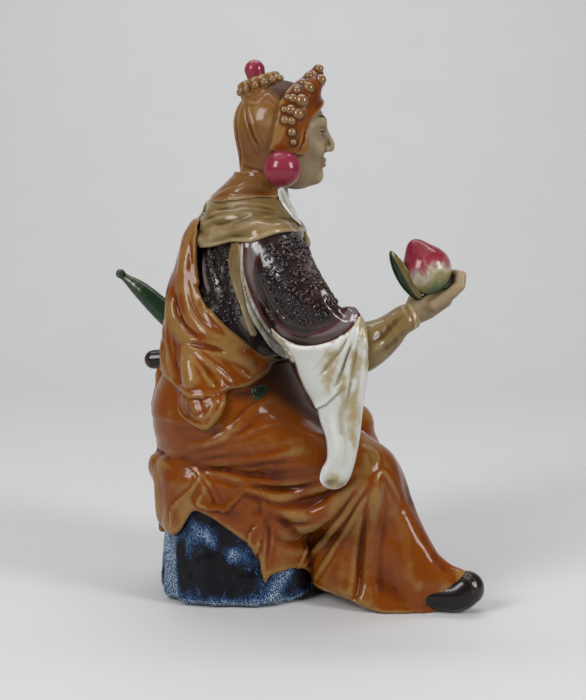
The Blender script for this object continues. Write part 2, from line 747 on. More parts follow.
def peach_material():
    """Crimson at the tip, running down over white and khaki to green at the foot."""
    recipe = Recipe("peach_glaze")
    run = recipe.noise(9, 5, 0.65, recipe.stretched(1, 1, 0.6), 0.8)
    height = recipe.math("ADD", recipe.coordinate("Z"), recipe.math("MULTIPLY", run, 0.026))
    lean = recipe.math("MULTIPLY", recipe.math("SUBTRACT", recipe.coordinate("X"), 0.1), -0.35)
    share = recipe.math("MULTIPLY", recipe.math("SUBTRACT", recipe.math("ADD", height, lean), 0.174), 1 / 0.036,
                        clamp=True)
    ramp = recipe.add("ShaderNodeValToRGB", Fac=share)
    stops = ramp.color_ramp.elements
    stops[0].position, stops[0].color = 0.1, (0.07, 0.13, 0.07, 1)
    stops[1].position, stops[1].color = 0.8, (0.17, 0.014, 0.026, 1)
    for place, tone in ((0.24, (0.14, 0.15, 0.07)), (0.36, (0.23, 0.18, 0.075)), (0.48, (0.34, 0.32, 0.24)),
                        (0.58, (0.26, 0.13, 0.12)), (0.68, (0.23, 0.03, 0.045))):
        stops.new(place).color = (*tone, 1)
    return recipe.finish(ramp.outputs[0], recipe.math("ADD", recipe.math("MULTIPLY", run, 0.1), 0.14), 0.2,
                         recipe.noise(2.0, 2), 0.04)


def green_material(name, edge):
    recipe, colour, soft = glaze(name, (0.003, 0.01, 0.004), (0.012, 0.03, 0.011), edge, cloud=0.8)
    return recipe.finish(colour, soft, 0.22, recipe.noise(2.0, 2), 0.04)


def black_material():
    recipe, colour, soft = glaze("black_glaze", (0.004, 0.003, 0.003), (0.009, 0.006, 0.006), (0.04, 0.022, 0.016),
                                 cloud=0.5)
    return recipe.finish(colour, soft, 0.22, recipe.noise(2.0, 2), 0.05)


amber = amber_material("amber_glaze", AMBER, 0.85)
hood_glaze = amber_material("hood_glaze", HOOD_AMBER, 0.75)
olive = olive_material()
pearl = pearl_material()
white = white_material()
dark = dark_material()
rock_glaze = rock_material()
skin = skin_material("bare_clay")
face_clay = skin_material("face_clay", (("lip", (0.17, 0.085, 0.05)), ("eye", (0.42, 0.37, 0.28)),
                                        ("ink", (0.008, 0.006, 0.005))))
crimson = crimson_material()
peach_glaze = peach_material()
green = green_material("green_glaze", (0.045, 0.06, 0.025))
leaf_green = green_material("leaf_glaze", (0.13, 0.09, 0.03))
black = black_material()


# The rock and the robe

ROCK = {"length": 41, "width": 40, "height": 62, "corner": 2.8, "edge": 6, "batter": 0.04}
APRON = {"hem": 1.6, "brim": 6, "brim_height": 66, "top": 82, "top_inset": 7}


def rock_field(p):
    lift_off = np.maximum(0, ROCK["edge"] - p[:, 2]) / ROCK["edge"]
    inset = ROCK["edge"] * (1 - np.sqrt(1 - np.minimum(lift_off, 1) ** 2)) + ROCK["batter"] * p[:, 2]
    along = np.abs(p[:, 0] / (ROCK["length"] - inset)) ** ROCK["corner"]
    across = np.abs(p[:, 1] / (ROCK["width"] - inset)) ** ROCK["corner"]
    side = ((along + across) ** (1 / ROCK["corner"]) - 1) * ROCK["width"]
    return np.maximum(side, np.maximum(p[:, 2] - ROCK["height"], -p[:, 2]))


HEM = [
    (-180, 36), (-150, 34), (-132, 38), (-122, 39), (-117, 51), (-103, 43), (-84, 36), (-71, 27), (-66, 13),
    (-59, 18), (-45, 20), (0, 20), (45, 22), (80, 34), (100, 24), (118, 44), (140, 34), (160, 40), (180, 36),
]


def apron_field(p):
    rise = np.clip(p[:, 2] / APRON["brim_height"], 0, 1)
    over = np.clip((p[:, 2] - APRON["brim_height"]) / (APRON["top"] - APRON["brim_height"]), 0, 1)
    drawn_in = (APRON["brim"] + APRON["top_inset"]) * (1 - np.sqrt(1 - over**2))
    thickness = APRON["hem"] + (APRON["brim"] - APRON["hem"]) * rise - drawn_in
    seat = p.copy()
    seat[:, 2] = np.clip(seat[:, 2], 1, ROCK["height"] - 1)
    angle = np.degrees(np.arctan2(p[:, 1], p[:, 0]))
    hem = np.interp(angle, *np.array(HEM, float).T) - 9 * np.clip(-p[:, 1] / 8, 0, 1)
    return np.maximum(rock_field(seat) - thickness, np.maximum(hem - p[:, 2], p[:, 2] - APRON["top"]))


HIPS = ((-4, 0, 96), (42, 45, 40))
RIGHT_LEG = [(10, -20, 90, 26), (66, -27, 67.5, 22.2)]
LEFT_LEG = [(8, 22, 94, 26), (57, 30, 78, 20)]
SKIRT = [
    (0, 83, -4, 41, 45), (6, 81, -4, 40, 43), (16, 75, -3, 37, 39), (34, 68, -1, 31, 35),
    (54, 63, 1, 29, 35), (74, 56, 2, 24, 36), (88, 48, 3, 18, 33),
]
RIGHT_DRAPE = [(74, -26, 30, 12), (98, -36, 13, 11.5), (110, -40, 13, 9), (118, -42.5, 17, 4.5)]
SHIN = [(68, -28, 64, 19), (84, -30, 48, 11.5), (103, -37, 25, 6), (118, -42, 17, 4)]
CALF = [(70, -25, 48, 15), (82, -30, 33, 12.5), (101, -36.5, 19, 8)]
FLAP = [(-39, -8, 71, 8), (-36.5, -13, 58, 7), (-34, -16, 45, 5.5)]
SWAG = [(14, -30, 64, 11), (36, -33, 53, 12), (52, -31, 54, 15), (64, -27, 64, 19)]
LEFT_KNEE = ((59, 26, 88.5), (18, 17, 14))
LEFT_DRAPE = [(68, 22, 30, 12), (86, 28, 13, 11), (96, 30, 8, 7)]

body_field = melt(14, egg(*HIPS), limb(RIGHT_LEG), limb(LEFT_LEG), column(SKIRT, corner=2.6))
legs_field = melt(8, body_field, melt(7, limb(RIGHT_DRAPE), limb(SHIN), limb(CALF)), limb(LEFT_DRAPE))
# The apron's outline where the photograph shows it. The far half keeps the hem's table.
APRON_OUTLINE = [
    (146, 380), (149, 430), (152, 455), (152, 480), (156, 505), (163, 527), (171, 535), (180, 531), (187, 519),
    (194, 511), (204, 514), (216, 521), (230, 531), (242, 540), (253, 549), (259, 560), (262, 574), (265, 584),
    (270, 576), (284, 571), (300, 568), (330, 575), (420, 560), (420, 380),
]
apron_seen = seen_inside(APRON_OUTLINE)
shaped_apron = both(apron_field, lambda p: np.minimum(apron_seen(p), -4 - p[:, 1]), 1.6)
CHEST_TURN = 12
CLOAK_THICKNESS = 4
TORSO = [
    (104, -4, 0, 39, 42), (122, -5, 0, 34, 37), (140, -4, 0, 31, 34), (160, 0, 0, 29, 33),
    (178, 5, 0, 28, 34), (194, 8, 0, 26, 34), (206, 9, 0, 24, 30), (216, 12, 0, 17, 19), (230, 16, 0, 12, 12),
]
torso_field = column(TORSO, CHEST_TURN)
waist_field = both(grown(torso_field, 1.4), lambda p: p[:, 2] - 130, 2)
hem_gap = seen_inside([
    (280, 560), (296, 572), (314, 587), (338, 595), (352, 600), (364, 607), (378, 613), (396, 624), (396, 660), (240, 660),
    (240, 560),
])


def under_hem(p):
    """Below the skirt's hem as the photograph shows it, on the side that it shows."""
    near = (p[:, 2] < 30) & (p[:, 1] < 0)
    away = np.full(len(p), 20.0)
    away[near] = np.maximum(hem_gap(p[near]), p[near, 1] + 8)
    return away


draped = carve(melt(5, melt(7, legs_field, waist_field), limb(SWAG)), under_hem, 2)
robe_base = melt(3, draped, shaped_apron, egg(*LEFT_KNEE), limb(FLAP))
robe_field = lambda p: np.maximum(robe_base(p), -p[:, 2])

# Folds as seen in the photograph: height, width, and pixels along the fold
ROBE_FOLDS = [
    # the hip
    (1.6, 2.4, (268, 402), (250, 414), (233, 430), (212, 443), (180, 447)),
    (1.2, 1.4, (254, 407), (244, 418), (236, 425)),
    (1.2, 1.6, (280, 424), (260, 428), (240, 436), (226, 440)),
    (1.8, 2.2, (166, 456), (184, 463), (213, 462), (250, 460), (282, 455), (306, 449)),
    (1.0, 2.0, (182, 461), (204, 455), (228, 449)),
    (1.0, 1.6, (188, 468), (206, 467), (230, 463)),
    (1.0, 1.4, (248, 470), (262, 466), (277, 465)),
    (-0.8, 2.5, (193, 470), (230, 470), (262, 474), (310, 470)),
    # swags between the apron's knot and the knee
    (2.2, 2.0, (198, 471), (222, 475), (240, 480), (280, 483), (326, 479)),
    (-1.1, 2.8, (238, 480), (262, 488), (290, 489), (326, 483)),
    (2.6, 2.4, (236, 481), (252, 489), (278, 497), (302, 492), (330, 484), (362, 468)),
    (-1.5, 3.0, (278, 507), (304, 505), (330, 495), (358, 476)),
    (2.4, 2.6, (272, 511), (303, 517), (320, 511), (340, 494), (362, 478)),
    (-1.0, 1.8, (282, 524), (306, 523), (326, 508), (350, 490)),
    (2.8, 3.2, (270, 510), (278, 528), (296, 533), (318, 521), (340, 502), (364, 479)),
    (-1.7, 3.0, (282, 544), (306, 543), (326, 527), (346, 506), (360, 490)),
    # the apron's panels
    (-1.8, 2.6, (146, 446), (158, 451), (168, 458), (180, 464)),
    (1.0, 1.6, (160, 458), (158, 470), (154, 482)),
    (LAP, 1.7, 2.4, (170, 536), (171, 507), (186, 492), (197, 477), (190, 468)),
    (-1.0, 2.5, (200, 480), (196, 492), (190, 504)),
    (LAP, 1.8, 2.2, (248, 489), (232, 505), (224, 511), (196, 505), (205, 487)),
    (1.8, 1.2, (199, 471), (210, 485), (220, 505)),
    (-0.7, 1.4, (205, 482), (212, 494), (215, 504)),
    (LAP, 1.6, 2.4, (266, 520), (256, 553), (247, 541), (252, 528), (262, 517)),
    (1.4, 1.6, (262, 498), (266, 510), (263, 521)),
    (1.8, 1.3, (270, 504), (266, 530), (264, 556), (262, 576)),
    (1.6, 1.4, (269, 506), (272, 530), (270, 552), (266, 570)),
    (-1.0, 1.8, (266, 518), (269, 540), (267, 562)),
    (-0.7, 2.1, (250, 516), (256, 512), (262, 508)),
    (1.2, 1.2, (270, 507), (276, 516), (290, 517)),
    (LAP, 1.6, 2.0, (296, 570), (302, 556), (308, 543)),
    # pleats that fan down from the knee
    (2.6, 1.8, (366, 483), (348, 510), (326, 538), (300, 570)),
    (-1.1, 2.3, (367, 488), (350, 516), (332, 542), (310, 577)),
    (2.2, 1.4, (370, 488), (352, 521), (332, 552), (314, 583)),
    (1.4, 5.0, (362, 506), (350, 550), (340, 596)),
    (-1.4, 2.4, (369, 492), (363, 544), (357, 590), (351, 600)),
    (2.6, 3.2, (378, 474), (374, 511), (370, 566), (370, 606)),
    (1.8, 1.6, (375, 494), (376, 478), (383, 473), (391, 484), (402, 506)),
    (-0.7, 6.9, (386, 482), (390, 530), (386, 606)),
    (0.8, 6.0, (398, 496), (408, 540), (406, 604)),
    (0.8, 4.0, (420, 540), (430, 566), (446, 590)),
    (1.4, 2.0, (362, 446), (374, 454), (376, 468)),
    # the rolled hem
    (1.2, 1.1, (292, 567), (312, 582), (332, 592), (352, 601), (370, 609), (396, 611), (430, 607), (456, 592)),
]
# The left side, plainer: places x, z
ROBE_FOLDS_LEFT = [
    (2.2, 5, (-30, 74), (10, 66), (52, 74)),
    (2.2, 5, (-38, 66), (0, 48), (44, 60)),
    (-1.6, 4, (-40, 90), (0, 82), (50, 90)),
    (2.6, 5, (60, 72), (50, 40), (34, 6)),
    (2.8, 5, (64, 70), (68, 40), (62, 6)),
    (2.6, 6, (70, 68), (88, 36), (94, 6)),
    (-2.2, 4, (62, 66), (58, 40), (48, 6)),
    (1.8, 3, (-20, 66), (-22, 50), (-16, 38)),
    (1.8, 3, (10, 60), (14, 46), (12, 30)),
]
ROBE_FOLDS_FRONT = [
    (2.8, 6, (-18, 78), (-26, 40), (-34, 4)),
    (-2.6, 6, (2, 84), (-4, 44), (-8, 4)),
    (2.4, 6, (12, 80), (12, 40), (14, 4)),
    (2.2, 6, (26, 84), (32, 44), (36, 4)),
    (-1.8, 5, (-10, 70), (-18, 36), (-22, 4)),
]
ROBE_FOLDS_BACK = [
    (2.0, 5, (-38, 84), (-10, 70), (24, 72)),
    (2.0, 5, (38, 92), (6, 78), (-26, 78)),
    (2.2, 4, (-16, 74), (-20, 54), (-14, 38)),
    (2.2, 4, (14, 74), (20, 56), (12, 36)),
    (-1.8, 3, (0, 70), (-2, 52), (2, 38)),
]

robe_folds = (
    folds(photo_rays, ROBE_FOLDS, robe_field)
    + folds(LEFT, ROBE_FOLDS_LEFT, robe_field)
    + folds(FRONT, ROBE_FOLDS_FRONT, robe_field)
    + folds(BACK, ROBE_FOLDS_BACK, robe_field)
)
# Where the glaze has pooled dark, between the waist and the thigh
POOL_OUTLINE = [
    (228, 390), (250, 386), (266, 372), (276, 354), (296, 346), (340, 346), (350, 400), (350, 440),
    (332, 438), (316, 426), (300, 413), (286, 405), (272, 395), (256, 399), (232, 398),
]
pool_seen = seen_inside(POOL_OUTLINE)


def pooled(p):
    return np.clip(0.5 - pool_seen(p) / 6, 0, 0.95) * np.clip((30 - p[:, 1]) / 24, 0, 1)


# Where the glaze lies thin or thick on the robe: share, width in millimetres, and pixels
ROBE_PALE = [
    (0.4, 4.5, (364, 440), (370, 452), (366, 468), (360, 474)),
    (0.4, 6, (160, 470), (158, 500), (168, 528)),
    (0.3, 5, (182, 506), (194, 492), (204, 478)),
    (0.35, 4, (284, 541), (306, 541), (326, 527), (346, 506)),
    (0.3, 7, (322, 570), (336, 540), (356, 508)),
    (0.25, 6, (284, 560), (276, 550)),
    (0.3, 6, (296, 452), (306, 458)),
    (0.3, 5, (170, 406), (168, 424)),
    (0.12, 8, (390, 500), (404, 540), (420, 580)),
    (-0.12, 6, (250, 466), (290, 470), (320, 466)),
    (-0.3, 7, (316, 424), (324, 446), (330, 474)),
    (-0.3, 6, (392, 462), (410, 500), (424, 540), (440, 566)),
]


def streaked(table, field):
    """The mark of soft streaks drawn in the photograph."""
    drawn = lines(photo_rays, [row[2:] for row in table], field)
    return lambda p: sum(row[0] * np.exp(-((line.measure(p)[0] / row[1]) ** 2)) for row, line in zip(table, drawn))


clay("robe", robe_field, (-56, -66, -3), (132, 66, 142), 1.05, amber, robe_folds,
     {"pool": pooled, "pale": streaked(ROBE_PALE, robe_field)})

# Streaks of pale speckle on the rock: share, width in millimetres, and pixels
ROCK_STREAKS = [
    (0.75, 5, (167, 530), (170, 560), (170, 590), (178, 603)),
    (0.45, 4, (192, 518), (196, 534), (186, 560)),
    (0.5, 4, (178, 540), (176, 565), (176, 600)),
    (0.5, 5, (205, 532), (210, 545), (222, 556), (236, 558)),
    (0.7, 3.5, (208, 538), (214, 546)),
    (0.9, 3.5, (232, 552), (231, 560), (229, 566)),
    (0.4, 5, (190, 560), (198, 590), (206, 602)),
    (0.35, 6, (244, 550), (252, 580), (262, 602)),
    (0.8, 5, (286, 574), (276, 586), (268, 604)),
    (-1.5, 12, (206, 566), (222, 578), (240, 590)),
    (-1.1, 3.5, (180, 545), (184, 570), (190, 598)),
    (-0.5, 5, (205, 516), (228, 532), (250, 548), (258, 570)),
    (-0.8, 5, (296, 576), (294, 600)),
]
rock_streaks = streaked(ROCK_STREAKS, rock_field)


def speckle(p):
    share = rock_streaks(p) + 0.14 * ripple(p * (1, 1, 0.35), 26, 8)
    return np.maximum(share, 1.7 * np.exp(-((p[:, 2] / 5) ** 2)) - 0.4)


weathered_rock = lambda p: rock_field(p) + 0.9 * ripple(p * (1, 1, 0.5), 16, 3) + 0.3 * ripple(p, 6, 4)
clay("rock", weathered_rock, (-46, -46, -3), (46, 46, 66), 1.4, rock_glaze, (), {"speckle": speckle})

# The body

CAPE = [
    (189, 8.4, 0, 31, 41.5), (196, 8, 0, 31, 40.5), (205, 7, 0, 27, 34), (213, 7, 0, 23, 26),
    (220, 9, 0, 18, 18.5), (229, 14, 0, 13.5, 14.5),
]
BARE_SHOULDER = ((25, -30, 200), (42, 50, 62))
TAIL = [(-16, -18, 144, 14), (-14, -28, 127, 15.5), (-14, -34.5, 114, 14), (-11, -40, 108, 12), (-13, -41, 99, 10)]

cape_field = column(CAPE, CHEST_TURN)
# The cloak's rolled edge and the shoulder it leaves bare, where the photograph shows them
BARE_OUTLINE = [
    (211, 199), (204, 212), (199, 224), (196, 236), (196, 250), (197, 274), (201, 294), (210, 310), (222, 322),
    (236, 334), (248, 345), (258, 352), (268, 356), (300, 356), (420, 320), (420, 150), (226, 150),
]
bare_seen = seen_inside(BARE_OUTLINE)
CLOAK_BACK = [(-6, -4, 204, 14), (-14, -6, 190, 15.5), (-19, -6, 166, 17), (-22, -4, 144, 18), (-18, -2, 128, 18)]
cloak_wide = both(melt(5, grown(torso_field, CLOAK_THICKNESS), grown(cape_field, 1.6), limb(CLOAK_BACK)),
                  lambda p: p[:, 2] - 206, 3)
cloak_cut = carve(carve(cloak_wide, egg(*BARE_SHOULDER), 2.5), lambda p: np.maximum(bare_seen(p), p[:, 1] - 2), 2)
# The cloak's lower edge: it hangs round the waist and in a tail over the hip
CLOAK_OUTLINE = [
    (60, 180), (60, 360), (150, 364), (160, 371), (170, 382), (176, 391), (176, 402), (179, 415), (191, 425),
    (206, 431), (219, 419), (226, 404), (228, 391), (248, 387), (266, 375), (277, 362), (320, 356), (420, 300),
    (420, 150), (100, 150),
]
cloak_seen = seen_inside(CLOAK_OUTLINE)
cloak_base = both(melt(4, cloak_cut, limb(TAIL)), lambda p: np.minimum(cloak_seen(p), -p[:, 1] - 1), 1.8)
CLOAK_FOLDS = [
    # the rolled edge round the bare shoulder
    (1.6, 1.7, (211, 203), (201, 222), (196, 240), (196, 262), (199, 282), (207, 303), (221, 325), (240, 340), (258, 352)),
    # drapes that fall from the shoulder and sweep under the arm
    (-1.3, 2.2, (190, 258), (189, 282), (194, 305), (206, 323), (224, 335)),
    (2.2, 3.8, (184, 256), (181, 284), (187, 310), (203, 331), (226, 343), (252, 350)),
    (-1.5, 2.2, (176, 288), (179, 312), (190, 330), (208, 341)),
    (1.8, 3.4, (172, 284), (172, 312), (180, 333), (194, 345)),
    (1.0, 1.5, (193, 282), (198, 308), (212, 326), (226, 334)),
    # the waist
    (-1.5, 2.0, (182, 343), (200, 346), (220, 350), (246, 358)),
    (2.0, 3.0, (222, 352), (240, 358), (256, 363)),
    (2.6, 4.6, (188, 354), (189, 372), (194, 390)),
    (1.5, 1.5, (192, 349), (206, 361), (222, 375), (234, 387)),
    (1.2, 1.3, (190, 351), (199, 366), (208, 382)),
    (-1.3, 2.0, (204, 366), (212, 377), (219, 387)),
    (1.2, 1.6, (228, 362), (240, 372), (250, 380)),
    (-1.2, 2.0, (176, 340), (176, 362), (181, 386)),
    (1.8, 2.0, (168, 322), (168, 346), (172, 368), (177, 388)),
    (-0.8, 1.6, (163, 340), (164, 356), (169, 372)),
    (LAP, 1.4, 2.0, (226, 391), (206, 397), (190, 397), (177, 389)),
    (1.2, 1.3, (274, 366), (262, 374), (248, 384), (228, 388), (206, 394), (190, 394), (176, 384), (162, 370)),
    # the tail
    (1.4, 1.2, (179, 392), (180, 411), (190, 421), (206, 427), (215, 416), (222, 403), (224, 391)),
    (1.3, 1.1, (187, 396), (188, 408), (195, 416), (203, 418), (210, 412), (216, 402), (218, 392)),
    (-1.4, 3.0, (198, 396), (203, 410), (208, 396)),
]
CLOAK_FOLDS_BACK = [
    (2.0, 4, (-28, 122), (-4, 134), (24, 150), (32, 176)),
    (2.0, 4, (-26, 112), (4, 120), (34, 128)),
    (1.8, 4, (-22, 140), (-6, 166), (10, 194)),
    (1.8, 4, (-28, 150), (-20, 176), (-12, 196)),
    (-1.6, 4, (-10, 128), (14, 144), (24, 170)),
]
CLOAK_FOLDS_LEFT = [
    (1.8, 4, (-28, 124), (0, 116), (28, 120)),
    (1.8, 4, (-26, 150), (-20, 176), (-4, 196)),
]
cloak_folds = (
    folds(photo_rays, CLOAK_FOLDS, cloak_base)
    + folds(BACK, CLOAK_FOLDS_BACK, cloak_base)
    + folds(LEFT, CLOAK_FOLDS_LEFT, cloak_base)
)
CLOAK_PALE = [
    (0.45, 4, (200, 212), (190, 236), (184, 262), (182, 290)),
    (0.4, 4, (190, 292), (198, 314), (214, 332), (236, 344)),
    (0.55, 5, (186, 352), (189, 366), (191, 380)),
    (0.35, 4, (222, 352), (240, 362), (252, 370)),
    (0.45, 4, (172, 306), (178, 326), (190, 342)),
    (0.4, 3, (166, 346), (170, 366)),
]
cloak_streaks = streaked(CLOAK_PALE, cloak_base)
clay("cloak", cloak_base, (-48, -54, 80), (46, 54, 212), 1.0, amber, cloak_folds,
     {"pool": pooled, "pale": lambda p: 0.03 + cloak_streaks(p)})

JACKET_FOLDS = [
    (1.2, 2.0, (203, 250), (206, 275), (212, 296)),
    (1.0, 2.0, (210, 250), (213, 275), (220, 300)),
    (1.6, 3.0, (237, 250), (236, 280), (244, 316), (253, 334)),
]
jacket = clay("jacket", lambda p: np.maximum(torso_field(p), np.maximum(132 - p[:, 2], p[:, 2] - 222)),
              (-44, -46, 128), (46, 46, 226), 1.1, dark,
              folds(photo_rays, JACKET_FOLDS, torso_field), {"trim": lambda p: np.full(len(p), 40.0)})

UPPER_SLEEVE = [(17, -33, 190, 16), (33, -41, 171, 18), (46, -45, 159, 15.5), (57, -45, 156, 9)]
SLEEVE_MOUTH = [(32, -47, 154, 10), (45, -50, 151, 8.5), (58, -48, 153, 8)]
sleeve_base = melt(5, tube(UPPER_SLEEVE), limb(SLEEVE_MOUTH), grown(torso_field, 2.5))
CAPE_OUTLINE = [
    (230, 170), (210, 196), (208, 206), (201, 222), (194, 236), (193, 248), (200, 248), (215, 246), (230, 242),
    (250, 242), (262, 238), (274, 234), (288, 232), (298, 232), (305, 230), (302, 218), (294, 200), (284, 180),
]
cape_seen = seen_inside(CAPE_OUTLINE)
cape_base = both(melt(4, cape_field, grown(tube(UPPER_SLEEVE), 1.8)),
                 lambda p: np.minimum(np.maximum(cape_seen(p), 150 - p[:, 2]), np.maximum(-p[:, 1], 188 - p[:, 2])), 1.4)
CAPE_FOLDS = [
    (1.0, 1.3, (216, 207), (232, 207), (252, 205), (278, 208)),
    (-0.6, 1.4, (212, 211), (232, 209), (256, 207), (280, 212)),
    (1.2, 1.5, (208, 216), (222, 213), (240, 210), (262, 208)),
    (1.4, 1.6, (203, 228), (214, 220), (230, 215), (244, 211)),
    (-0.7, 1.8, (204, 232), (216, 226), (232, 221), (250, 217)),
    (1.6, 3.4, (198, 240), (216, 235), (234, 231), (252, 226), (268, 221)),
    (-0.4, 2.3, (214, 240), (236, 236), (254, 231)),
    (1.0, 3.2, (244, 236), (264, 230), (284, 225), (300, 224)),
    (-0.6, 1.8, (262, 220), (280, 218), (294, 222)),
    (1.0, 1.4, (200, 246), (216, 244), (232, 240), (250, 240), (264, 236), (282, 230)),
]
CAPE_FOLDS_BACK = [
    (1.6, 3, (-34, 198), (-6, 204), (26, 198)),
    (1.6, 3, (-24, 208), (0, 213), (22, 207)),
    (1.4, 3, (-30, 193), (0, 195), (34, 192)),
]
CAPE_FOLDS_FRONT = [
    (1.6, 3, (-30, 198), (0, 192), (30, 198)),
    (1.6, 3, (-22, 210), (0, 200), (22, 209)),
]
cape_folds = (
    folds(photo_rays, CAPE_FOLDS, cape_base)
    + folds(BACK, CAPE_FOLDS_BACK, cape_base)
    + folds(FRONT, CAPE_FOLDS_FRONT, cape_base)
)
clay("cape", cape_base, (-30, -62, 178), (50, 48, 234), 0.85, olive, cape_folds)

NECK_OUTLINE = [
    (243, 150), (230, 176), (219, 187), (211, 193), (210, 199), (214, 202), (230, 201), (246, 199), (262, 197),
    (277, 198), (281, 192), (300, 180), (300, 150),
]
neck_seen = seen_inside(NECK_OUTLINE)
neck_field = both(grown(cape_field, 1.4), lambda p: np.maximum(
    212 - p[:, 2], np.minimum(neck_seen(p), np.maximum(-p[:, 1], 217 - p[:, 2]))), 1.2)
NECK_FOLDS = [
    (1.2, 2.0, (214, 197), (232, 190), (250, 186)),
    (-1.0, 2.0, (232, 196), (250, 193), (274, 194)),
    (1.0, 1.2, (242, 171), (256, 174), (266, 180), (276, 192)),
]
clay("neck_drape", neck_field, (-24, -34, 208), (44, 34, 234), 0.85, hood_glaze,
     folds(photo_rays, NECK_FOLDS, neck_field))
COLLAR_OUTLINE = [(277, 189), (283, 187), (289, 198), (295, 210), (302, 226), (296, 221), (288, 212), (281, 202)]
collar_seen = seen_inside(COLLAR_OUTLINE)
collar_field = both(grown(cape_field, 1.8), lambda p: np.maximum(collar_seen(p), p[:, 1] + 2), 0.8)
COLLAR_FOLDS = [
    (0.8, 0.9, (278, 192), (280, 203), (287, 213), (298, 223)),
    (-1.8, 1.3, (281, 192), (285, 202), (290, 210), (296, 218)),
]
clay("collar", collar_field, (0, -40, 190), (48, 2, 236), 0.7, white,
     folds(photo_rays, COLLAR_FOLDS, collar_field), {"lining": lambda p: np.full(len(p), 3.5)})
SASH_OUTLINE = [(251, 389), (258, 385), (267, 385), (268, 390), (262, 397), (256, 401), (252, 395)]
sash_seen = seen_inside(SASH_OUTLINE)
clay("sash", both(grown(melt(4, robe_field, cloak_base), 0.5), lambda p: np.maximum(sash_seen(p), p[:, 1] + 20)),
     (-30, -60, 100), (40, -16, 140), 0.7, green, (), {"pale": lambda p: np.full(len(p), -0.45)})

# The right arm

FOREARM = [(52, -43, 140, 10.5), (69, -41.5, 141.5, 12.4), (81, -40.5, 148, 8.6), (93, -39, 157, 6)]
RIM = [(246, 244), (246, 268), (252, 290), (262, 312), (275, 330), (290, 341), (305, 345), (322, 343), (340, 336),
       (351, 327), (358, 316)]
sleeve_outline = RIM[1:] + [(358, 310), (354, 307), (348, 308), (343, 309), (338, 305), (329, 292), (320, 277),
                            (310, 257), (308, 246), (306, 226), (270, 222), (250, 232), (246, 246)]
outline_seen = seen_inside(sleeve_outline)
sleeve_field = both(sleeve_base, outline_seen, 1.0)
rim_line = lines(photo_rays, [RIM], sleeve_base)[0]


def under_sleeve(p):
    """Below the sleeve's surface, or beyond its rim and rising slowly from it."""
    slope = 2.2 * np.maximum(rim_line.measure(p)[0], 6 * (p[:, 0] > 62))
    return np.maximum(np.minimum(sleeve_base(p) + 1, 0.4 - outline_seen(p)), sleeve_base(p) + 1.8 - slope)


rim_tube = limb(np.hstack([rim_line.points, np.full((len(rim_line.points), 1), 1.5)]))
trimmed = melt(1.5, sleeve_field, rim_tube)
SLEEVE_FOLDS = [
    (1.5, 1.7, (253, 246), (256, 275), (264, 300), (275, 318), (290, 331), (315, 335), (338, 328), (354, 315)),
    (-1.0, 1.0, (259, 246), (263, 275), (272, 300), (284, 316), (300, 324), (320, 325)),
    (1.2, 2.4, (340, 306), (350, 310), (358, 311)),
    (-1.2, 2.6, (326, 296), (338, 310), (350, 318)),
]
right_sleeve = clay("sleeve", trimmed, (-10, -66, 130), (76, 10, 212), 0.8, dark,
     folds(photo_rays, SLEEVE_FOLDS, sleeve_base), {"trim": lambda p: rim_line.measure(p)[0]})

sleeve_seen = seen_inside([(268, 246), (302, 238), (312, 262), (334, 298), (332, 312), (308, 326), (284, 312),
                           (266, 276)])
jacket_seen = seen_inside([(208, 252), (229, 250), (229, 280), (240, 316), (230, 324), (208, 300)])


def stamp_scrolls(name, piece, seen, gap, sizes, seed):
    places, ways = spread(piece, lambda p, n: (seen(p) < 0) & (n[:, 1] < 0.2), gap, seed)
    rng = np.random.default_rng(seed)
    spins, sizes = rng.uniform(0, 2 * math.pi, len(places)), rng.uniform(*sizes, len(places))
    strew(name, curl_stamp(), places, ways, spins, sizes, dark)


stamp_scrolls("sleeve_scrolls", right_sleeve, sleeve_seen, 3.5, (1.0, 1.7), 5)
stamp_scrolls("jacket_scrolls", jacket, jacket_seen, 3.2, (0.8, 1.3), 6)

LINING_OUTLINE = [
    (240, 243), (239, 270), (241, 292), (247, 314), (258, 331), (270, 347), (281, 357), (294, 363), (330, 352),
    (354, 332), (361, 316), (340, 316), (318, 330), (291, 330), (272, 314), (256, 285), (251, 243),
]
BAND_OUTLINE = [
    (231, 243), (228, 262), (231, 278), (238, 302), (246, 324), (251, 336), (257, 333), (250, 316), (244, 296),
    (241, 270), (240, 243),
]
lining_seen, band_seen = seen_inside(LINING_OUTLINE), seen_inside(BAND_OUTLINE)
HANGING_SLEEVE = [
    (68.5, 50, -50, 4, 3), (74, 52.5, -50, 8, 5.5), (89, 56, -50, 8.5, 6.5), (100, 56, -49.5, 10.5, 7),
    (112, 55, -49, 12, 8), (121, 52.5, -48.5, 15, 9.5), (134, 50.5, -48, 18.5, 11), (146, 50, -47, 18.5, 12.5),
    (156, 53, -46, 12, 10),
]
hanging = melt(6, column(HANGING_SLEEVE, corner=3), tube([(30, -46, 152, 9), (44, -47, 148, 12), (56, -46, 150, 9)]))
under_base = melt(6, grown(tube(UPPER_SLEEVE), -0.8), grown(torso_field, 1.8), grown(hanging, 1.4))
LINING_FOLDS = [
    (1.3, 1.0, (242, 248), (243, 285), (252, 314), (268, 338), (290, 354), (316, 354)),
    (1.2, 0.9, (244, 262), (250, 296), (266, 326), (286, 346), (308, 350)),
    (-0.8, 0.7, (243, 256), (246, 290), (258, 318), (276, 342), (296, 352)),
]
lining_field = both(under_base, lambda p: np.maximum(lining_seen(p), np.maximum(p[:, 1] + 4, under_sleeve(p))))
clay("sleeve_lining", lining_field, (-10, -66, 130), (76, 0, 212), 0.75, white,
     folds(photo_rays, LINING_FOLDS, under_base), {"lining": lambda p: np.full(len(p), -0.4)})
BAND_FOLDS = [
    (0.8, 0.9, (234, 246), (231, 264), (235, 282), (243, 306), (250, 330)),
    (-1.0, 1.0, (238, 250), (236, 268), (240, 290), (247, 314)),
]
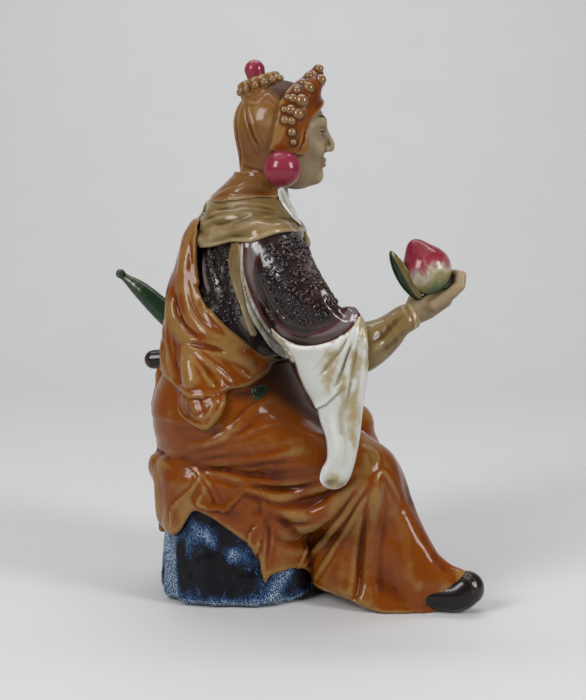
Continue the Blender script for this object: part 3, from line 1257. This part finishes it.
clay("sleeve_band", both(grown(under_base, 0.4), lambda p: np.maximum(band_seen(p), p[:, 1] + 22)),
     (-14, -66, 130), (40, -20, 212), 0.7, olive, folds(photo_rays, BAND_FOLDS, under_base))

HANGING_OUTLINE = [
    (276, 331), (294, 361), (298, 373), (304, 388), (312, 402), (317, 410), (320, 422), (325, 436), (327, 450),
    (326, 461), (321, 471), (320, 481), (326, 487), (335, 489), (344, 485), (351, 475), (355, 463), (359, 445),
    (361, 427), (363, 410), (366, 392), (368, 374), (370, 352), (369, 332), (366, 321), (362, 315), (357, 312),
    (350, 325), (338, 335), (322, 341), (305, 343), (290, 340),
]
mouth = egg((50.5, -58, 70.5), (3.6, 4, 3.4))
hanging_seen = seen_inside(HANGING_OUTLINE)
hanging_field = carve(both(both(grown(hanging, 1.8), hanging_seen, 2.2), under_sleeve, 2), mouth, 1.0)
HANGING_FOLDS = [
    (1.4, 1.3, (358, 320), (345, 332), (335, 347), (322, 365), (312, 378)),
    (-1.4, 1.4, (352, 332), (342, 348), (330, 364), (318, 378)),
    (1.4, 1.2, (357, 322), (350, 340), (341, 362), (334, 380), (324, 400)),
    (-1.6, 1.8, (354, 336), (347, 356), (340, 376), (334, 392)),
    (1.3, 1.2, (359, 323), (354, 342), (349, 360), (344, 382)),
    (-1.2, 1.6, (358, 338), (354, 360), (350, 384), (346, 410)),
    (1.6, 1.8, (364, 328), (365, 350), (363, 376), (358, 410)),
    (LAP, 2.0, 2.4, (346, 384), (334, 394), (325, 403), (314, 408)),
    (-1.2, 2.4, (346, 396), (340, 420), (342, 446)),
    (1.0, 3.0, (330, 412), (336, 440), (336, 466)),
    (1.0, 2.4, (354, 400), (353, 430), (350, 462)),
    (1.2, 1.0, (325, 462), (321, 478), (326, 486), (336, 488), (346, 483), (353, 468)),
]
STAIN_OUTLINES = [
    [(357, 312), (364, 314), (370, 326), (371, 374), (367, 374), (366, 342), (360, 338)],
    [(326, 350), (338, 352), (334, 372), (330, 392), (324, 382)],
    [(339, 374), (347, 376), (346, 398), (340, 398)],
    [(350, 350), (360, 352), (358, 374), (352, 376)],
    [(346, 396), (358, 394), (356, 440), (352, 446), (348, 420)],
    [(325, 475), (340, 472), (342, 488), (328, 488)],
]
stains = [seen_inside(outline) for outline in STAIN_OUTLINES]
clay("white_sleeve", hanging_field, (-6, -66, 62), (76, -20, 186), 0.75, white,
     folds(photo_rays, HANGING_FOLDS, hanging_field),
     {"lining": lambda p: np.minimum.reduce([stain(p) for stain in stains] + [mouth(p)])})

FOREARM_OUTLINE = [
    (352, 324), (368, 321), (378, 318), (386, 313), (392, 308), (398, 304), (406, 303), (412, 305), (416, 313),
    (420, 322), (416, 329), (408, 334), (401, 344), (393, 354), (384, 362), (375, 369), (364, 377), (352, 370),
]
forearm_field = both(grown(limb(FOREARM), 1.8), seen_inside(FOREARM_OUTLINE), 2.4)
FOREARM_FOLDS = [
    (1.1, 2.2, (368, 353), (380, 345), (390, 337), (400, 327), (411, 319)),
    (-0.4, 2.2, (370, 343), (382, 335), (392, 326)),
    (0.5, 2.4, (368, 334), (382, 326), (396, 314)),
    (-0.3, 2.0, (374, 364), (388, 354), (398, 342)),
    (1.4, 1.0, (409, 303), (413, 311), (419, 322), (417, 329)),
    (-0.6, 1.4, (405, 304), (408, 312), (412, 322), (410, 332)),
]
clay("forearm", forearm_field, (36, -64, 120), (104, -26, 170), 0.75, olive,
     folds(photo_rays, FOREARM_FOLDS, forearm_field))

PALM = [(90, -39, 155.5, 5.6), (100, -39, 161, 6.4), (108, -39, 165.5, 5.4)]
FINGER_ROWS = (-45.5, -41, -36.5, -32.5)
right_fingers = [
    limb([(103, y, 162.5, 3), (112, y, 168.5, 3), (116.3 - i * 0.5, y * 0.9 - 4, 172.5, 2.8),
          (117.3 - i, y * 0.7 - 11, 177.5, 2.5)])
    for i, y in enumerate(FINGER_ROWS)
]
right_thumb = limb([(91, -37, 158, 3.4), (94, -34, 165, 3), (96.5, -31, 172, 2.6)])
right_hand = melt(1.6, limb(PALM), *right_fingers, right_thumb)
clay("right_hand", right_hand, (82, -54, 146), (124, -22, 184), 0.55, skin)

# The left arm

LEFT_SLEEVE = [(2, 30, 190, 17), (-2, 44, 160, 17), (2, 50, 138, 16), (20, 49, 124, 15), (36, 43, 115, 13)]
LEFT_HAND = [(34, 42, 115, 7), (47, 39, 108, 6.5), (55, 36, 103.5, 5)]
left_sleeve_field = limb(LEFT_SLEEVE)
LEFT_SLEEVE_FOLDS = [
    (2.0, 4, (-12, 186), (-14, 160), (-6, 136), (16, 118)),
    (2.0, 4, (8, 190), (4, 160), (12, 136), (32, 120)),
    (-1.6, 3, (-4, 186), (-6, 156), (6, 130)),
    (1.8, 3, (12, 140), (2, 128), (-6, 120)),
]
clay("left_sleeve", left_sleeve_field, (-24, 8, 98), (54, 70, 212), 1.2, amber,
     folds(LEFT, LEFT_SLEEVE_FOLDS, left_sleeve_field))
left_fingers = [
    limb([(50, y * 0.6 + 15, 105.5, 3), (61, y, 101.5, 2.8), (67.5, y, 97, 2.5)])
    for y in (31, 35.2, 39.4, 43.4)
]
left_thumb = limb([(46, 36, 107, 3.4), (53, 30, 104.5, 3), (58, 27, 101.5, 2.5)])
left_hand = melt(1.6, limb(LEFT_HAND), *left_fingers, left_thumb)
clay("left_hand", left_hand, (26, 20, 88), (74, 52, 124), 0.6, skin)

# The head

HEAD = ((29, 0, 249), (20, 18.5, 27))
HELMET = ((23, 0, 256), (23, 22, 23))
HOOD = [
    (214, 14, 0, 12, 15), (226, 16, 0, 13.5, 15.5), (238, 19, 0, 17, 18), (250, 21, 0, 20, 20.5),
    (260, 22, 0, 20.3, 20.3), (267, 22.5, 0, 16, 16), (274, 23, 0, 6, 6),
]
skull = melt(4, egg(*HEAD), egg((34.5, 0, 232.5), (11, 12, 11)), egg((43.6, 0, 228), (3.6, 5, 3.8)))
brow = tube([(47.4, 0, 256.6, 1.2), (47.2, -4, 257.6, 1.5), (44.6, -9, 257, 1.4), (40.4, -13, 254.5, 1)])
cheek = egg((41.5, -8.5, 243.5), (5.6, 5.6, 5))
socket = egg((49.4, -6.9, 251), (4.2, 4.6, 3))
nose = tube([(46.6, 0, 256, 1.5), (48.6, 0, 251, 1.7), (51, 0, 245.5, 2.1), (51, 0, 243.3, 2.3)])
wing = egg((48.8, -2.6, 242.6), (2.2, 1.7, 1.8))
nostril = egg((50.2, -1.5, 240.4), (1.1, 0.8, 0.9))
eyeball = egg((43.2, -6.9, 250.6), (3.2, 3.5, 2.3))
upper_lid = tube([(45.1, -3.5, 250, 0.6), (46.9, -5.6, 252.1, 0.7), (46.4, -8.4, 252.2, 0.7),
                  (43.6, -10.8, 250.6, 0.6)])
lower_lid = tube([(45.1, -3.5, 250, 0.5), (46.3, -6, 248.6, 0.6), (45.6, -8.6, 248.8, 0.6),
                  (43.6, -10.8, 250.6, 0.5)])
upper_lip = tube([(47.9, 0, 236.2, 0.9), (47.6, -1.5, 236.8, 1.1), (44.9, -4.4, 235.4, 0.6)])
lower_lip = tube([(47.5, 0, 234, 1.3), (46.9, -1.8, 234.2, 1.1), (44.9, -4.1, 235, 0.5)])
face_form = carve(melt(3, skull, brow, cheek), socket, 2.4)
face_form = carve(melt(1.4, face_form, nose, wing), nostril, 0.6)
face_form = melt(0.5, face_form, eyeball, upper_lid, lower_lid, upper_lip, lower_lip)
painted_brow = tube([(48.4, -2.6, 258, 0.35), (46.6, -7, 259.6, 0.9), (42, -12.4, 257.6, 0.3)])
painted_lash = tube([(45.4, -3.6, 250, 0.3), (47.4, -5.6, 251.7, 0.55), (46.8, -8.4, 251.8, 0.55),
                     (43.8, -11.2, 250.8, 0.3)])
pupil = egg((46.4, -6.8, 250.4), (1.6, 1.2, 1.25))
clay("face", mirrored(lambda p: np.maximum(face_form(p), 16 - p[:, 0])), (12, -24, 218), (58, 24, 280), 0.55, face_clay,
     (), {
         "ink": mirrored(lambda p: np.minimum.reduce([painted_brow(p), painted_lash(p), pupil(p)])),
         "eye": mirrored(lambda p: eyeball(p) + np.maximum(0, 45.4 - p[:, 0])),
         "lip": mirrored(lambda p: np.minimum(upper_lip(p), lower_lip(p)))})

hood_base = melt(5, column(HOOD), egg(*HELMET))
hood_shade = mirrored(seen_inside([(266, 88), (280, 74), (300, 74), (294, 86), (283, 100), (276, 94)]))
HOOD_FOLDS = [
    (0.9, 0.9, (245, 106), (246, 120), (251, 136), (257, 149), (263, 160)),
    (-1.0, 1.1, (247, 106), (249, 120), (254, 135), (263, 152)),
    (0.9, 0.9, (249, 104), (252, 120), (258, 135), (267, 152)),
    (1.1, 0.9, (280, 104), (276, 118), (272, 138), (269, 156)),
    (1.0, 0.8, (284, 104), (279, 120), (275, 140), (273, 156)),
    (1.2, 1.1, (248, 100), (253, 104), (262, 100), (268, 96), (274, 101), (281, 105)),
    (1.2, 1.6, (240, 168), (253, 173), (268, 178), (276, 190)),
    (1.0, 1.0, (286, 100), (294, 90), (306, 80)),
]
hood_folds = folds(photo_rays, HOOD_FOLDS, hood_base) + folds(
    BACK, [(-1.2, 2, (y, 268), (y * 1.3, 252), (y * 0.7, 230)) for y in (-6, 0)], hood_base)
clay("hood", mirrored(lambda p: hood_base(p) - lift(p, hood_folds)), (-6, -28, 210), (52, 28, 286), 0.68, hood_glaze,
     (), {"pool": lambda p: np.clip(0.6 - hood_shade(p) / 3, 0, 0.88)})

DIADEM_OUTLINE = [
    (277, 117), (279, 106), (282, 98), (287, 90), (294, 83), (300, 78), (304, 73), (311, 69), (315, 65), (320, 64),
    (324, 69), (327, 80), (325, 92), (326, 100), (322, 108), (315, 114), (309, 121), (307, 131), (309, 143),
    (309, 151), (304, 156), (296, 155), (286, 152), (270, 151), (272, 140), (274, 128),
]
diadem_seen = seen_inside(DIADEM_OUTLINE)
CREST = [(33, -17.5, 260, 5), (37, -12.5, 269, 5.4), (40.5, -6, 275, 5.8), (42, 0, 279, 6), (44.4, 0, 285, 3)]
diadem_form = both(melt(4, grown(skull, 3), grown(hood_base, 2.6), limb(CREST)), diadem_seen, 1.6)
DIADEM_FOLDS = [
    (1.0, 1.0, (302, 120), (301, 136), (297, 147), (290, 152)),
    (-0.9, 1.2, (304, 128), (303, 142), (298, 151)),
    (0.9, 1.0, (326, 98), (316, 112), (308, 122), (307, 138)),
    (0.8, 1.0, (280, 100), (280, 114), (281, 128)),
]
diadem_folds = folds(photo_rays, DIADEM_FOLDS, diadem_form)
patch_line = lines(photo_rays, [[(279, 130), (276, 138)]], diadem_form)[0]
# Beads as seen in the photograph: pixels and radius in millimetres. Each has its like on the far side.
BEADS = [
    (319, 69, 2.5), (320.5, 80, 3.1), (309, 76, 2.4), (303, 83, 2.4), (308.5, 88, 3.2), (297, 91, 2.3),
    (301.5, 101, 3.7), (293, 99, 2.7), (287.5, 98, 2), (290.5, 110, 2.9), (284, 110, 1.9), (298, 114, 3.1),
    (284.5, 120, 2.5), (291, 121, 2.5), (291.5, 132, 2.5), (293, 142, 2),
]
bead_places = land(photo_rays, [bead[:2] for bead in BEADS], diadem_form)
bead_places = np.vstack([bead_places, bead_places * (1, -1, 1)])
bead_sizes = [bead[2] for bead in BEADS] * 2


def bead_rings(p):
    """The dark glaze that has gathered round the beads."""
    total = np.zeros(len(p))
    for at, size in zip(bead_places, bead_sizes):
        gap = np.linalg.norm(p - at, axis=1) - size
        total = np.maximum(total, 0.75 * np.exp(-((np.maximum(gap - 0.3, 0) / 0.9) ** 2)))
    return total


clay("diadem", mirrored(lambda p: np.maximum(diadem_form(p) - lift(p, diadem_folds), 16 - p[:, 0])),
     (14, -32, 228), (58, 32, 292), 0.62, amber, (),
     {"pale": mirrored(lambda p: 1.2 * np.exp(-((patch_line.measure(p)[0] / 2.6) ** 2)) - 0.1), "pool": bead_rings})

balls = [egg((25.5, 24.5 * side, 231.8), (9.7, 9.7, 9.7)) for side in (-1, 1)]
pompom = limb([(10.6, 0, 284.1, 5.5), (12.4, 0, 276, 4.2)])
clay("ear_balls", melt(0.1, *balls), (14, -36, 220), (38, 36, 244), 0.8, crimson)
clay("pompom", pompom, (2, -8, 270), (20, 8, 291), 0.5, crimson)

DRUM = {"at": (13.6, 0, 275.5), "radius": 11.4, "height": 10.5, "lean": 19}


def drum_field(p):
    lean = math.radians(DRUM["lean"])
    q = p - np.array(DRUM["at"])
    x = q[:, 0] * math.cos(lean) + q[:, 2] * math.sin(lean)
    z = q[:, 2] * math.cos(lean) - q[:, 0] * math.sin(lean)
    around = np.arctan2(q[:, 1], x)
    radius = DRUM["radius"] + 0.5 * np.cos(14 * around)
    out, high = np.hypot(x, q[:, 1]) - radius, np.abs(z) - DRUM["height"] / 2
    return -smooth_min(-out, -high, 2.5)


clay("drum", drum_field, (-4, -16, 260), (34, 16, 292), 0.55, hood_glaze)

lean = math.radians(DRUM["lean"])
for k in range(14):
    angle = 2 * math.pi * k / 14
    x, y, z = 11.2 * math.cos(angle), 11.2 * math.sin(angle), 0.6
    turned = (x * math.cos(lean) - z * math.sin(lean), y, x * math.sin(lean) + z * math.cos(lean))
    bead_places = np.vstack([bead_places, np.add(turned, DRUM["at"])])
    bead_sizes.append(2.1)
strew("beads", bead_stamp(), bead_places, np.tile((0, 0, 1.0), (len(bead_places), 1)), np.zeros(len(bead_places)),
      bead_sizes, pearl)

# The peach and its leaves

PEACH = {"at": (100, -38, 180), "radius": 12.8, "tip": 4.6, "lean": 27}


def peach_field(p):
    lean = math.radians(PEACH["lean"])
    q = p - np.array(PEACH["at"])
    top = q[:, 2] * math.cos(lean) - q[:, 0] * math.sin(lean)
    reach = np.linalg.norm(q, axis=1)
    off = np.arccos(np.clip(top / np.maximum(reach, 1e-6), -1, 1))
    return reach - PEACH["radius"] - PEACH["tip"] * np.exp(-((off / 0.42) ** 2))


clay("peach", peach_field, (82, -56, 162), (118, -20, 202), 0.6, peach_glaze)

LEAF = {"width": 10.5, "thickness": 3, "cup": 3.5}


def leaf_field(foot, end, facing):
    foot, end, facing = (np.array(v, float) for v in (foot, end, facing))
    up = end - foot
    length = np.linalg.norm(up)
    up /= length
    out = facing - (facing @ up) * up
    out /= np.linalg.norm(out)
    across = np.cross(up, out)

    def field(p):
        q = p - foot
        b = 2 * (q @ up) / length - 1
        a = 2 * (q @ across) / LEAF["width"]
        bow = LEAF["cup"] * (1 - b * b) - LEAF["cup"] * a * a
        c = 2 * (q @ out - bow) / LEAF["thickness"]
        reach = np.sqrt(a**2 + b**2 + c**2)
        return (reach - 1) * LEAF["thickness"] / 2 * np.clip(reach, 0.3, 2)

    return field


leaves = melt(0.3, leaf_field((97, -41, 163.5), (80.6, -43, 190.3), (-1, -0.6, 0)),
              leaf_field((97, -35, 164), (91, -27, 183), (-1, 0.8, 0)))
leaf_brown = seen_inside([(395, 248), (406, 262), (412, 274), (419, 286), (424, 297), (417, 297), (408, 284), (401, 271),
                          (395, 260), (390, 251)])
clay("leaves", leaves, (74, -56, 158), (106, -16, 194), 0.5, leaf_green, (),
     {"pale": lambda p: 1.5 * np.clip(0.4 - leaf_brown(p) / 1.2, 0, 1) - 0.25})

# Shoes, sheath and toggle

RIGHT_SHOE = [(98, -38, 8, 8), (110, -41.5, 8.4, 8.4), (118, -43, 9.4, 9.2), (122.6, -43, 12.6, 9.2)]
LEFT_SHOE = [(78, 28, 8, 8), (92, 31, 8, 8), (99, 32, 10.5, 8.4), (104, 32, 14.2, 7.2)]
shoes = melt(2, tube(RIGHT_SHOE), tube(LEFT_SHOE))
SOLE_FOLDS = [(0.7, 0.9, (440, 608), (456, 609), (470, 601), (478, 592)), (-1.0, 1.0, (463, 574), (473, 583), (474, 596))]
clay("shoes", lambda p: np.maximum(shoes(p), -p[:, 2]), (66, -56, -3), (136, 46, 28), 0.8, black,
     folds(photo_rays, SOLE_FOLDS, shoes))
SHEATH = [(-66.5, 30, 173.3, 2.8), (-64, 29.6, 171.3, 2.3), (-54, 28, 163.5, 5), (-38, 25, 149, 6.6),
          (-14, 18, 130, 7)]
clay("sheath", tube(SHEATH), (-74, 6, 118), (-4, 38, 180), 0.9, green)
TOGGLE = [(-46.6, 14, 126.6, 5.3), (-42, 13, 127, 5.5), (-30, 10, 127.5, 5)]
clay("toggle", limb(TOGGLE), (-56, 4, 120), (-24, 20, 135), 0.7, black)


# Floor, lights and camera

def stage_floor():
    """A pale floor that curves up into a backdrop."""
    half, depth, bend, top = 2.4, 1.6, 0.9, 2.6
    profile = [(-2.2, 0.0), (depth - bend, 0.0)]
    profile += [(depth - bend + bend * math.sin(t), bend * (1 - math.cos(t)))
                for t in np.linspace(0, math.pi / 2, 24)[1:]]
    profile.append((depth, top))
    places = [(x, y, z) for y, z in profile for x in (-half, half)]
    quads = [(2 * i, 2 * i + 1, 2 * i + 3, 2 * i + 2) for i in range(len(profile) - 1)]
    mesh = bpy.data.meshes.new("floor")
    mesh.from_pydata(places, [], quads)
    mesh.shade_smooth()
    floor = bpy.data.objects.new("floor", mesh)
    bpy.context.scene.collection.objects.link(floor)
    recipe = Recipe("pale_floor")
    tone = recipe.mix(recipe.noise(60, 2), (0.515, 0.515, 0.515), (0.535, 0.535, 0.535))
    mesh.materials.append(recipe.finish(tone, 0.6, 0.0, recipe.noise(3, 2), 0.02, 0.2))


def area_light(name, at, aim, size, power, tint=(1, 1, 1)):
    data = bpy.data.lights.new(name, "AREA")
    data.shape = "RECTANGLE"
    data.size, data.size_y = size
    data.energy = power
    data.color = tint
    light = bpy.data.objects.new(name, data)
    light.location = at
    light.rotation_euler = (Vector(aim) - Vector(at)).to_track_quat("-Z", "Y").to_euler()
    bpy.context.scene.collection.objects.link(light)


def stage():
    stage_floor()
    middle = (0.03, 0, 0.15)
    area_light("left", (-0.75, -0.75, 0.75), middle, (0.42, 0.7), 12)
    area_light("right", (0.95, -0.6, 0.6), middle, (0.38, 0.6), 10)
    area_light("top", (-0.1, 0.1, 1.5), middle, (1.6, 1.2), 5.4)
    area_light("backdrop", (0, 0.6, 1.9), (0, 1.5, 0.72), (2.0, 0.6), 21.5)
    world = bpy.data.worlds.new("studio")
    world.use_nodes = True
    world.node_tree.nodes["Background"].inputs["Color"].default_value = (0.9, 0.93, 1, 1)
    world.node_tree.nodes["Background"].inputs["Strength"].default_value = 0.13
    bpy.context.scene.world = world
    camera = bpy.data.objects.new("camera", bpy.data.cameras.new("camera"))
    camera.data.lens, camera.data.sensor_width = LENS, SENSOR
    camera.data.sensor_fit = "AUTO"
    camera.data.clip_start = 0.01
    camera.location = EYE * MM
    camera.rotation_euler = (math.pi / 2 - PITCH, 0, 0)
    bpy.context.scene.collection.objects.link(camera)
    bpy.context.scene.camera = camera
    bpy.context.scene.view_settings.view_transform = "Standard"


stage()
